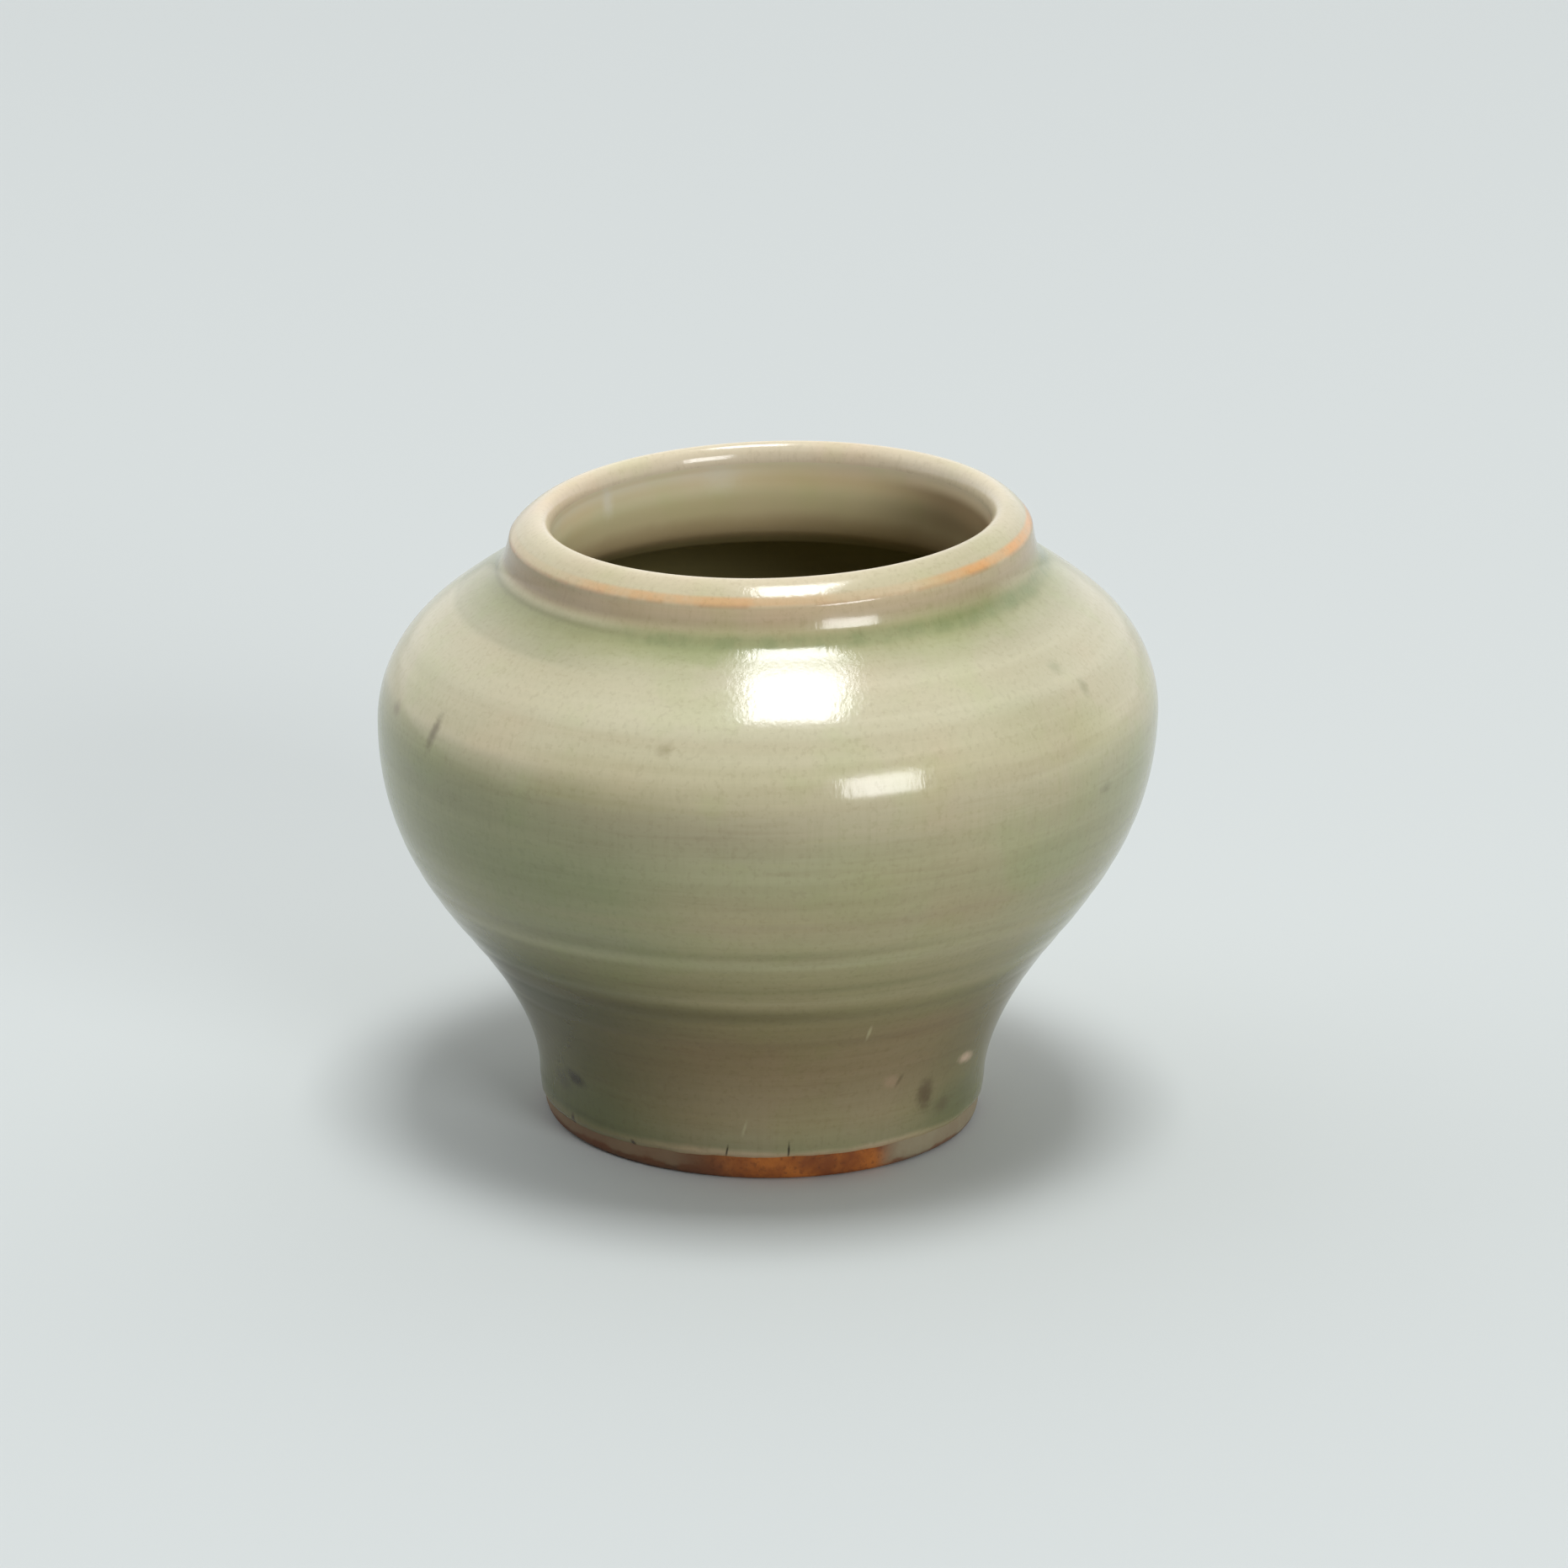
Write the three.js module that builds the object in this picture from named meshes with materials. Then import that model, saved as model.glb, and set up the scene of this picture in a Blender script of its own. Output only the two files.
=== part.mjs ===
// Small baluster jar: turned stoneware under a celadon glaze, in millimetres with +Z up.
// The origin is the centre of the ring that the jar stands on.
import * as THREE from "three";

const SEGMENTS = 48;

// Where the glazed outside turns, as radius and height
const BARE_RIM = { radius: 28.0, height: 0 };
const GLAZE_EDGE = { radius: 28.7, height: 2.4 };
const WAIST = { radius: 29.0, height: 5.0 };
const TURNING_LINE = { radius: 39.2, height: 27.0 };
const BELLY = { radius: 50.0, height: 54.0 };
const NECK = { radius: 37.2, height: 71.65 };
const COLLAR_FOOT = { radius: 34.1, height: 74.8 };
const ARRIS = { radius: 33.3, height: 78.0 };
const LIP_CREST = { radius: 29.6, height: 80.7 };

// Two curves with one slope at the turning line make the flare from waist to belly.
// Each reach is how far a curve keeps the direction that it starts or ends with.
const FLARE_SLOPE = THREE.MathUtils.degToRad(52);
const FLARE_REACH = { waist: 9.5, below: 2.0, above: 9.4, belly: 12.0 };

// The shoulder is part of an ellipse up to a radius, and straighter from there to the neck
const SHOULDER = { width: 21.8, rise: 18.4, topRadius: 43.4, reach: 2.5 };

// Above the neck the collar curves up to a sharp arris, where the lip's face begins.
// Slopes are measured from the level, and all of them rise inwards.
const NECK_SLOPE = THREE.MathUtils.degToRad(33);
const COLLAR_SLOPE = {
  foot: THREE.MathUtils.degToRad(66),
  top: THREE.MathUtils.degToRad(80),
};
const LIP_SLOPE = THREE.MathUtils.degToRad(62);
const LIP_REACH = { neck: 1.6, collar: 1.05, arris: 1.2, crest: 1.2 };

// Where the glazed inside turns
const MOUTH = { radius: 28.0, height: 78.4 };
const THROAT = { radius: 27.6, height: 74.0 };
const THROAT_FOOT = { radius: 28.4, height: 69.2 };
const UNDER_SHOULDER_RADIUS = 30.4;
const INNER_SHOULDER = { width: 16.2, rise: 13.2 };
const INNER_BELLY = { radius: 45.2, height: 54.0 };
const INNER_FLARE = { radius: 34.8, height: 30.4 };
const INNER_REACH = { belly: 9.0, above: 8.0, below: 10.0, floor: 12.0 };
const FLOOR = { radius: 12.0, height: 10.4 };

// Underside: a flat ring with a shallow recess turned inside it
const RING = { innerRadius: 22.5, recessRadius: 21.4, recessDepth: 3.0 };

const COAT = 0.6;

// Kept between two pieces that touch
const CLEARANCE = 0.06;

// In the kiln the jar went slightly out of true: its belly and its mouth each rise towards one
// side, by this much per millimetre, growing between two heights
const BELLY_TILT = { side: THREE.MathUtils.degToRad(22), rise: 0.028, from: 0, to: 36 };
const MOUTH_TILT = { side: THREE.MathUtils.degToRad(40), rise: 0.026, from: 69.5, to: 83.0 };

// Straight steps that each curved stretch is drawn with
const STEPS = {
  flare: 5,
  belly: 6,
  shoulder: 5,
  shoulderTop: 3,
  neck: 4,
  collar: 2,
  lip: 4,
  lipInside: 3,
  innerShoulder: 5,
  innerBelly: 5,
  innerFlare: 6,
};

const UP = Math.PI / 2;

function point(place) {
  return new THREE.Vector2(place.radius, place.height);
}

function towards(angle, distance) {
  return new THREE.Vector2(Math.cos(angle), Math.sin(angle)).multiplyScalar(distance);
}

function inwards(slope, distance) {
  return towards(Math.PI - slope, distance);
}

// A curve from start to end that leaves and arrives along the given reaches
function flowing(start, startReach, end, endReach) {
  return new THREE.CubicBezierCurve(
    start,
    start.clone().add(startReach),
    end.clone().sub(endReach),
    end,
  );
}

function ellipse(centreRadius, centreHeight, size, from, to) {
  return new THREE.EllipseCurve(
    centreRadius, centreHeight, size.width, size.rise, from, to, from > to,
  );
}

// Points of a curve without its first, which the stretch before it already ends on
function stretch(curve, steps) {
  return curve.getPoints(steps).slice(1);
}

// Each stretch of the glazed surface, from the glaze edge up, over the lip and down inside
function glazedStretches() {
  const waist = point(WAIST);
  const turningLine = point(TURNING_LINE);
  const belly = point(BELLY);
  const intoFlare = flowing(
    waist, towards(UP, FLARE_REACH.waist), turningLine, towards(FLARE_SLOPE, FLARE_REACH.below),
  );
  const intoBelly = flowing(
    turningLine, towards(FLARE_SLOPE, FLARE_REACH.above), belly, towards(UP, FLARE_REACH.belly),
  );

  const shoulderCentre = BELLY.radius - SHOULDER.width;
  const topAngle = Math.acos((SHOULDER.topRadius - shoulderCentre) / SHOULDER.width);
  const shoulder = ellipse(shoulderCentre, BELLY.height, SHOULDER, 0, topAngle);
  const neck = point(NECK);
  const shoulderTop = flowing(
    shoulder.getPoint(1), shoulder.getTangent(1).setLength(SHOULDER.reach),
    neck, inwards(NECK_SLOPE, SHOULDER.reach),
  );

  const collarFoot = point(COLLAR_FOOT);
  const arris = point(ARRIS);
  const outOfNeck = flowing(
    neck, inwards(NECK_SLOPE, LIP_REACH.neck),
    collarFoot, inwards(COLLAR_SLOPE.foot, LIP_REACH.neck),
  );
  const collar = flowing(
    collarFoot, inwards(COLLAR_SLOPE.foot, LIP_REACH.collar),
    arris, inwards(COLLAR_SLOPE.top, LIP_REACH.collar),
  );
  const lipFace = flowing(
    arris, inwards(LIP_SLOPE, LIP_REACH.arris), point(LIP_CREST), inwards(0, LIP_REACH.crest),
  );
  const innerLip = ellipse(
    LIP_CREST.radius, MOUTH.height,
    { width: LIP_CREST.radius - MOUTH.radius, rise: LIP_CREST.height - MOUTH.height }, UP, Math.PI,
  );

  const innerCentre = INNER_BELLY.radius - INNER_SHOULDER.width;
  const throatAngle = Math.acos((UNDER_SHOULDER_RADIUS - innerCentre) / INNER_SHOULDER.width);
  const innerShoulder = ellipse(innerCentre, INNER_BELLY.height, INNER_SHOULDER, throatAngle, 0);
  const innerTurn = point(INNER_FLARE);
  const floor = point(FLOOR);
  const innerBelly = flowing(
    point(INNER_BELLY), towards(UP, -INNER_REACH.belly),
    innerTurn, towards(FLARE_SLOPE, -INNER_REACH.above),
  );
  const innerFlare = flowing(
    innerTurn, towards(FLARE_SLOPE, -INNER_REACH.below), floor, towards(0, -INNER_REACH.floor),
  );

  return {
    foot: [point(GLAZE_EDGE), waist, ...stretch(intoFlare, STEPS.flare)],
    belly: stretch(intoBelly, STEPS.belly),
    shoulder: [
      ...stretch(shoulder, STEPS.shoulder),
      ...stretch(shoulderTop, STEPS.shoulderTop),
    ],
    lip: [
      ...stretch(outOfNeck, STEPS.neck),
      ...stretch(collar, STEPS.collar),
      ...stretch(lipFace, STEPS.lip),
      ...stretch(innerLip, STEPS.lipInside),
    ],
    throat: [point(THROAT), point(THROAT_FOOT)],
    innerShoulder: innerShoulder.getPoints(STEPS.innerShoulder),
    innerBelly: stretch(innerBelly, STEPS.innerBelly),
    innerFoot: [...stretch(innerFlare, STEPS.innerFlare), new THREE.Vector2(0, FLOOR.height)],
  };
}

// The same line at a depth under the glazed surface, square to it
function under(line, depth) {
  return line.map((here, i) => {
    const before = line[Math.max(i - 1, 0)];
    const after = line[Math.min(i + 1, line.length - 1)];
    const way = after.clone().sub(before).normalize();
    const inward = new THREE.Vector2(-way.y, way.x);
    const moved = here.clone().addScaledVector(inward, depth);
    moved.x = here.x === 0 ? 0 : moved.x;
    return moved;
  });
}

const stretches = glazedStretches();
const surface = Object.values(stretches).flat();
const coatBack = under(surface, COAT);
const clay = under(surface, COAT + CLEARANCE);
const last = surface.length - 1;

// Index of the last point of each named stretch
const ends = {};
let count = 0;
for (const [name, points] of Object.entries(stretches)) {
  count += points.length;
  ends[name] = count - 1;
}

// Points from one index to another, drawn in at each end that faces a neighbouring piece
function run(line, from, to) {
  const points = line.slice(from, to + 1).map((each) => each.clone());
  const drawIn = (end, next) =>
    end.add(next.clone().sub(end).setLength(CLEARANCE / 2));
  if (from > 0) drawIn(points[0], points[1]);
  if (to < last) drawIn(points.at(-1), points.at(-2));
  return points;
}

function closed(points) {
  return [...points, points[0].clone()];
}

// The turned foot with its standing ring, its recess and the jar's floor
function footSection() {
  return [
    new THREE.Vector2(0, RING.recessDepth),
    new THREE.Vector2(RING.recessRadius, RING.recessDepth),
    new THREE.Vector2(RING.innerRadius, 0),
    point(BARE_RIM),
    ...run(clay, 0, ends.foot),
    ...run(clay, ends.innerBelly, last),
  ];
}

// The flaring wall from the turning line up to the belly
function lowerBody() {
  return closed([
    ...run(clay, ends.foot, ends.belly),
    ...run(clay, ends.innerShoulder, ends.innerBelly),
  ]);
}

// The wall from the belly in to the neck
function shoulderSection() {
  return closed([
    ...run(clay, ends.belly, ends.shoulder),
    ...run(clay, ends.throat, ends.innerShoulder),
  ]);
}

// The collar with its rounded lip
function neckAndLip() {
  return closed(run(clay, ends.shoulder, ends.throat));
}

// The coat from just above the bare foot rim up over the lip
function outerGlaze() {
  return closed([
    ...run(surface, 0, ends.lip),
    ...run(coatBack, 0, ends.lip).reverse(),
  ]);
}

// The coat from the lip down over the floor
function innerGlaze() {
  return [
    ...run(coatBack, ends.lip, last).reverse(),
    ...run(surface, ends.lip, last),
  ];
}

// How far a tilt lifts the place at x and y at a height
function lift(tilt, x, y, height) {
  const reach = towards(tilt.side, 1).dot(new THREE.Vector2(x, y));
  return tilt.rise * THREE.MathUtils.smoothstep(height, tilt.from, tilt.to) * reach;
}

// Turns an outline round the jar's axis, then lifts it as the kiln did
function turned(outline) {
  const geometry = new THREE.LatheGeometry(outline, SEGMENTS);
  geometry.rotateX(UP);
  const place = geometry.getAttribute("position");
  for (let i = 0; i < place.count; i += 1) {
    const here = [place.getX(i), place.getY(i), place.getZ(i)];
    place.setZ(i, here[2] + lift(BELLY_TILT, ...here) + lift(MOUTH_TILT, ...here));
  }
  geometry.computeVertexNormals();
  return geometry;
}

function fired(color, roughness) {
  return new THREE.MeshStandardMaterial({ color, roughness, metalness: 0 });
}

const jar = new THREE.Group();
jar.name = "small_baluster_jar";

function add(name, outline, material) {
  const mesh = new THREE.Mesh(turned(outline), material);
  mesh.name = name;
  jar.add(mesh);
}

add("foot_section", footSection(), fired(0x9a6238, 0.85));
add("lower_body", lowerBody(), fired(0xa8927a, 0.85));
add("shoulder", shoulderSection(), fired(0xa8927a, 0.85));
add("neck_and_lip", neckAndLip(), fired(0xb98a5c, 0.85));
add("outer_glaze", outerGlaze(), fired(0xa9a283, 0.18));
add("inner_glaze", innerGlaze(), fired(0x8b8560, 0.2));

export default jar;
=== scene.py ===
import math

import bmesh
import bpy
from mathutils import Matrix, Vector


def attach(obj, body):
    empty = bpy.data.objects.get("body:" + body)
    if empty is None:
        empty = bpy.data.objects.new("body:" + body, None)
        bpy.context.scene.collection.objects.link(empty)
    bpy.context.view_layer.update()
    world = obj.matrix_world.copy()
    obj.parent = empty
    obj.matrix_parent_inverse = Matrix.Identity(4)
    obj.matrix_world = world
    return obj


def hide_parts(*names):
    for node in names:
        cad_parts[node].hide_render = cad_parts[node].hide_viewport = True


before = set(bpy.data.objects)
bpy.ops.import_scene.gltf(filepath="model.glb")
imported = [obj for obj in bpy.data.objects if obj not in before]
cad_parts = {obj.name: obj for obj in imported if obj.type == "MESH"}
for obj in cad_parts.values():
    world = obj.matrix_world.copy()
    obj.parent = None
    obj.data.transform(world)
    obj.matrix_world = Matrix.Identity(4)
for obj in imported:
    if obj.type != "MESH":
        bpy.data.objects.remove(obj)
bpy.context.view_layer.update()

scene = bpy.context.scene


# Camera. The photograph was taken with a long lens from a little above the jar,
# and the camera was not quite level, so the jar leans slightly to the right in it.
LENS = 149.53
CAMERA_AIM = Vector((0.0, 0.0, 0.040))
CAMERA_DISTANCE = 0.840
CAMERA_ELEVATION = math.radians(18.03)
CAMERA_ROLL = math.radians(0.965)
CAMERA_SIDESTEP = 0.002296
CAMERA_RISE = 0.003575

forward = Vector((0.0, math.cos(CAMERA_ELEVATION), -math.sin(CAMERA_ELEVATION)))
level_right = Vector((1.0, 0.0, 0.0))
level_up = level_right.cross(forward)
right = level_right * math.cos(CAMERA_ROLL) + level_up * math.sin(CAMERA_ROLL)
up = level_up * math.cos(CAMERA_ROLL) - level_right * math.sin(CAMERA_ROLL)

camera = bpy.data.objects.new("camera", bpy.data.cameras.new("camera"))
camera.data.sensor_width = 36.0
camera.data.lens = LENS
camera.data.clip_start = 0.01
camera_place = CAMERA_AIM - forward * CAMERA_DISTANCE
camera_place += right * CAMERA_SIDESTEP + up * CAMERA_RISE
camera.matrix_world = Matrix((
    (right.x, up.x, -forward.x, camera_place.x),
    (right.y, up.y, -forward.y, camera_place.y),
    (right.z, up.z, -forward.z, camera_place.z),
    (0.0, 0.0, 0.0, 1.0),
))
scene.collection.objects.link(camera)
scene.camera = camera


# Bare clay of the foot. Stoneware turned upside down on the wheel: a standing ring with a
# shallow recess inside it, and the rim that the glaze stops short of. It is wiped clean of
# glaze before firing, and the iron in the clay burns orange where the flame reaches it.
MM = 0.001
TURNS_OF_FOOT = 192

# The jar went slightly out of true in the kiln. Its belly and its mouth each rise towards one
# side: by how much per millimetre, towards where, and the heights that it grows between.
BELLY_TILT = (0.028, math.radians(22.0), 0.0, 36.0)
MOUTH_TILT = (0.026, math.radians(40.0), 69.5, 83.0)

# Radius and height of the clay in millimetres, from the middle of the recess outwards
RECESS = [(0.0, 3.0), (20.9, 3.0), (21.4, 2.75), (22.3, 0.45), (22.8, 0.0)]
BARE_RIM = [(27.1, 0.0), (27.75, 0.25), (28.15, 0.95), (28.32, 1.9), (28.34, 3.0)]
CLAY_UNDER_GLAZE = [(28.2, 5.4), (30.3, 14.4), (34.6, 22.0), (38.6, 27.3)]
CLAY_INSIDE = [(35.2, 29.7), (33.0, 26.65), (30.0, 22.2), (27.0, 18.0), (24.0, 14.7),
               (21.0, 12.3), (18.0, 10.75), (15.0, 9.9), (12.0, 9.7), (0.0, 9.7)]
CLAY_STEP = 0.45


class Flow:
    """A value on its way through a node tree. Sums written on it add Math nodes."""

    def __init__(self, tree, socket=None):
        self.tree = tree
        self.socket = socket

    def node(self, kind, settings=None, inputs=None, output=0):
        made = self.tree.nodes.new(kind)
        for name, value in (settings or {}).items():
            if name == "stops":
                give_stops(made.color_ramp, value)
            else:
                setattr(made, name, value)
        for name, value in (inputs or {}).items():
            if isinstance(value, Flow):
                self.tree.links.new(value.socket, made.inputs[name])
            else:
                made.inputs[name].default_value = value
        return Flow(self.tree, made.outputs[output])

    def other(self, output):
        """Another output of the node that this value comes from."""
        return Flow(self.tree, self.socket.node.outputs[output])

    def maths(self, operation, *values):
        return self.node("ShaderNodeMath", {"operation": operation}, dict(enumerate(values)))

    def __add__(self, other):
        return self.maths("ADD", self, other)

    def __sub__(self, other):
        return self.maths("SUBTRACT", self, other)

    def __rsub__(self, other):
        return self.maths("SUBTRACT", other, self)

    def __mul__(self, other):
        return self.maths("MULTIPLY", self, other)

    def __truediv__(self, other):
        return self.maths("DIVIDE", self, other)

    __radd__ = __add__
    __rmul__ = __mul__

    def step(self, start, end):
        """0 up to start, 1 from end, with a smooth rise between them."""
        if start > end:
            return 1.0 - self.step(end, start)
        return self.node("ShaderNodeMapRange", {"interpolation_type": "SMOOTHSTEP"},
                         {"Value": self, "From Min": start, "From Max": end})

    def near(self, middle, reach, flat=0.0):
        """1 within flat of a middle value, 0 beyond a reach from it."""
        return self.maths("ABSOLUTE", self - middle).step(reach, flat)


def give_stops(ramp, stops):
    while len(ramp.elements) < len(stops):
        ramp.elements.new(1.0)
    for element, (place, colour) in zip(ramp.elements, stops):
        element.position = place
        element.color = colour


# Finger rings of the wheel: how little they change round the jar, and how many to a metre up it.
# The run of the coat's edge has a few waves to a turn. Points closer than the gap are one.
RING_SPREAD = 0.25
RINGS_PER_METRE = 260.0
EDGE_WAVES = 4.0
MERGED_GAP = 0.000002


def turning_tree():
    """The potter's wheel: turns an outline round the axis, then tilts it as the kiln did."""
    tree = bpy.data.node_groups.new("turned on the wheel", "GeometryNodeTree")
    named_inputs = [
        ("Outline", "NodeSocketGeometry"), ("Turns", "NodeSocketInt"),
        ("Belly tilt", "NodeSocketFloat"), ("Belly tilt direction", "NodeSocketFloat"),
        ("Belly tilt foot", "NodeSocketFloat"), ("Belly tilt top", "NodeSocketFloat"),
        ("Mouth tilt", "NodeSocketFloat"), ("Mouth tilt direction", "NodeSocketFloat"),
        ("Mouth tilt foot", "NodeSocketFloat"), ("Mouth tilt top", "NodeSocketFloat"),
        ("Ring depth", "NodeSocketFloat"),
        ("Edge lift", "NodeSocketFloat"), ("Edge lift direction", "NodeSocketFloat"),
        ("Edge waver", "NodeSocketFloat"), ("Edge reach", "NodeSocketFloat"),
        ("Seed", "NodeSocketFloat"), ("Material", "NodeSocketMaterial"),
    ]
    for name, kind in named_inputs:
        tree.interface.new_socket(name, in_out="INPUT", socket_type=kind)
    tree.interface.new_socket("Turned", in_out="OUTPUT", socket_type="NodeSocketGeometry")
    flow = Flow(tree)
    entry = tree.nodes.new("NodeGroupInput")
    given = {name: Flow(tree, entry.outputs[name]) for name, _ in named_inputs}

    points = flow.node("GeometryNodeAttributeDomainSize", None, {"Geometry": given["Outline"]})
    wheel = flow.node("GeometryNodeMeshGrid", None,
                      {"Vertices X": given["Turns"] + 1.0, "Vertices Y": points})
    index = flow.node("GeometryNodeInputIndex")
    turn = flow.maths("FLOOR", (index + 0.5) / points)
    row = index - turn * points
    place = flow.node("GeometryNodeInputPosition")
    way = flow.node("GeometryNodeInputNamedAttribute", {"data_type": "FLOAT"}, {"Name": "way"})
    drawn = flow.node("GeometryNodeSampleIndex", {"data_type": "FLOAT_VECTOR"},
                      {"Geometry": given["Outline"], "Value": place, "Index": row})
    along = flow.node("GeometryNodeSampleIndex", {"data_type": "FLOAT"},
                      {"Geometry": given["Outline"], "Value": way, "Index": row})
    radius = flow.node("ShaderNodeSeparateXYZ", None, {"Vector": drawn}, "X")
    height = radius.other("Z")

    angle = turn / given["Turns"] * math.tau
    cosine = flow.maths("COSINE", angle)
    sine = flow.maths("SINE", angle)

    # Rings left by the fingers, which only ever take clay away
    ring_place = flow.node("ShaderNodeCombineXYZ", None,
                           {"X": cosine * RING_SPREAD, "Y": sine * RING_SPREAD,
                            "Z": height * RINGS_PER_METRE})
    rings = flow.node("ShaderNodeTexNoise", {"noise_dimensions": "4D"},
                      {"Vector": ring_place, "W": given["Seed"], "Scale": 1.0, "Detail": 2.0})
    ringed = flow.node("GeometryNodeInputNamedAttribute", {"data_type": "FLOAT"},
                       {"Name": "ringed"})
    share = flow.node("GeometryNodeSampleIndex", {"data_type": "FLOAT"},
                      {"Geometry": given["Outline"], "Value": ringed, "Index": row})
    thinned = radius - given["Ring depth"] * share * rings

    # The lower edge of the coat runs up and down round the foot
    edge_place = flow.node("ShaderNodeCombineXYZ", None, {"X": cosine, "Y": sine, "Z": 0.0})
    waver = flow.node("ShaderNodeTexNoise", {"noise_dimensions": "4D"},
                      {"Vector": edge_place, "W": given["Seed"],
                       "Scale": EDGE_WAVES, "Detail": 3.0})
    lift = given["Edge lift"] * flow.maths("COSINE", angle - given["Edge lift direction"])
    lift = lift + given["Edge waver"] * (waver - 0.5)
    near_edge = 1.0 - along / given["Edge reach"]
    near_edge = flow.maths("MAXIMUM", near_edge, 0.0)
    risen = height + lift * near_edge * near_edge

    # Each of the kiln's two tilts grows smoothly between two heights
    lifted = risen
    for part in ("Belly tilt", "Mouth tilt"):
        grown = flow.node("ShaderNodeMapRange", {"interpolation_type": "SMOOTHSTEP"}, {
            "Value": risen, "From Min": given[part + " foot"], "From Max": given[part + " top"]})
        reach = thinned * flow.maths("COSINE", angle - given[part + " direction"])
        lifted = lifted + given[part] * grown * reach
    turned = flow.node("ShaderNodeCombineXYZ", None, {
        "X": thinned * cosine, "Y": thinned * sine, "Z": lifted})

    shaped = flow.node("GeometryNodeSetPosition", None, {"Geometry": wheel, "Position": turned})
    for name, value in (("height", risen / MM), ("way", along / MM)):
        shaped = flow.node("GeometryNodeStoreNamedAttribute",
                           {"data_type": "FLOAT", "domain": "POINT"},
                           {"Geometry": shaped, "Name": name, "Value": value})
    joined = flow.node("GeometryNodeMergeByDistance", None,
                       {"Geometry": shaped, "Distance": MERGED_GAP})
    smooth = flow.node("GeometryNodeSetShadeSmooth", None, {"Geometry": joined})
    plain = flow.node("GeometryNodeRealizeInstances", None, {"Geometry": smooth})
    covered = flow.node("GeometryNodeSetMaterial", None,
                        {"Geometry": plain, "Material": given["Material"]})
    leaving = tree.nodes.new("NodeGroupOutput")
    tree.links.new(covered.socket, leaving.inputs["Turned"])
    return tree


wheel_tree = turning_tree()
SHARP_CORNER = math.radians(40.0)
NOISE_SEED = 7.0


def turn_piece(name, outline, ways, material, turns, ring_depth=0.0, ringed=None, edge=None):
    """Turns an outline of (radius, height) in millimetres into a finished piece."""
    mesh = bpy.data.meshes.new(name)
    mesh.from_pydata([(radius * MM, 0.0, height * MM) for radius, height in outline],
                     [(i, i + 1) for i in range(len(outline) - 1)], [])
    for field, numbers in (("way", [way * MM for way in ways]),
                           ("ringed", ringed or [0.0] * len(outline))):
        mesh.attributes.new(field, "FLOAT", "POINT").data.foreach_set("value", numbers)
    piece = bpy.data.objects.new(name, mesh)
    scene.collection.objects.link(piece)
    lift, lift_direction, waver, reach = edge or (0.0, 0.0, 0.0, 1.0)
    values = {
        "Turns": turns, "Ring depth": ring_depth * MM,
        "Edge lift": lift * MM, "Edge lift direction": lift_direction,
        "Edge waver": waver * MM, "Edge reach": reach * MM, "Seed": NOISE_SEED,
        "Material": material,
    }
    for part, tilt in (("Belly tilt", BELLY_TILT), ("Mouth tilt", MOUTH_TILT)):
        rise, direction, low, high = tilt
        values.update({part: rise, part + " direction": direction,
                       part + " foot": low * MM, part + " top": high * MM})
    turning = piece.modifiers.new("turning", "NODES")
    turning.node_group = wheel_tree
    for item in wheel_tree.interface.items_tree:
        if item.in_out == "INPUT" and item.name in values:
            turning[item.identifier] = values[item.name]
    depsgraph = bpy.context.evaluated_depsgraph_get()
    turned = bpy.data.meshes.new_from_object(
        piece.evaluated_get(depsgraph), preserve_all_data_layers=True, depsgraph=depsgraph)
    piece.modifiers.remove(turning)
    piece.data = turned
    bpy.data.meshes.remove(mesh)
    turned.name = name
    shell = bmesh.new()
    shell.from_mesh(turned)
    bmesh.ops.recalc_face_normals(shell, faces=shell.faces)
    shell.to_mesh(turned)
    shell.free()
    turned.set_sharp_from_angle(angle=SHARP_CORNER)
    return piece


def spaced(line, step):
    """Points evenly spaced along a drawn line, and how far along it each one is."""
    lengths = [0.0]
    for before, here in zip(line, line[1:]):
        lengths.append(lengths[-1] + math.dist(before, here))
    count = max(2, round(lengths[-1] / step))
    points, ways = [], []
    stretch = 0
    for i in range(count + 1):
        way = lengths[-1] * i / count
        while stretch < len(line) - 2 and lengths[stretch + 1] < way:
            stretch += 1
        length = lengths[stretch + 1] - lengths[stretch]
        share = (way - lengths[stretch]) / length if length else 0.0
        start, end = line[stretch], line[stretch + 1]
        points.append(tuple(a + (b - a) * share for a, b in zip(start, end)))
        ways.append(way)
    return points, ways


def paint(name):
    """A new material with its tree cleared down to its shader, as a Flow and the shader."""
    material = bpy.data.materials.new(name)
    material.use_nodes = True
    shader = material.node_tree.nodes["Principled BSDF"]
    return material, Flow(material.node_tree), shader


def linear(red, green, blue):
    """A colour written as 0 to 255 on screen, as the linear colour that nodes take."""
    def channel(value):
        share = value / 255.0
        if share <= 0.04045:
            return share / 12.92
        return ((share + 0.055) / 1.055) ** 2.4
    return (channel(red), channel(green), channel(blue), 1.0)


def blend(flow, share, first, second):
    return flow.node("ShaderNodeMix", {"data_type": "RGBA"}, {0: share, 6: first, 7: second}, 2)


def tint(flow, share, colour, by):
    """The colour, darkened or shifted by a share of another one laid over it."""
    return flow.node("ShaderNodeMix", {"data_type": "RGBA", "blend_type": "MULTIPLY"},
                     {0: share, 6: colour, 7: by}, 2)


def surface_place(flow):
    return flow.node("ShaderNodeTexCoord", output="Object")


def noise(flow, place, scale, detail=3.0, roughness=0.55):
    return flow.node("ShaderNodeTexNoise", None, {
        "Vector": place, "Scale": scale, "Detail": detail, "Roughness": roughness})


def bearing(flow):
    """The angle round the jar, in radians from its right-hand side."""
    x = flow.node("ShaderNodeSeparateXYZ", None, {"Vector": surface_place(flow)})
    return flow.maths("ARCTAN2", x.other("Y"), x)


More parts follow.
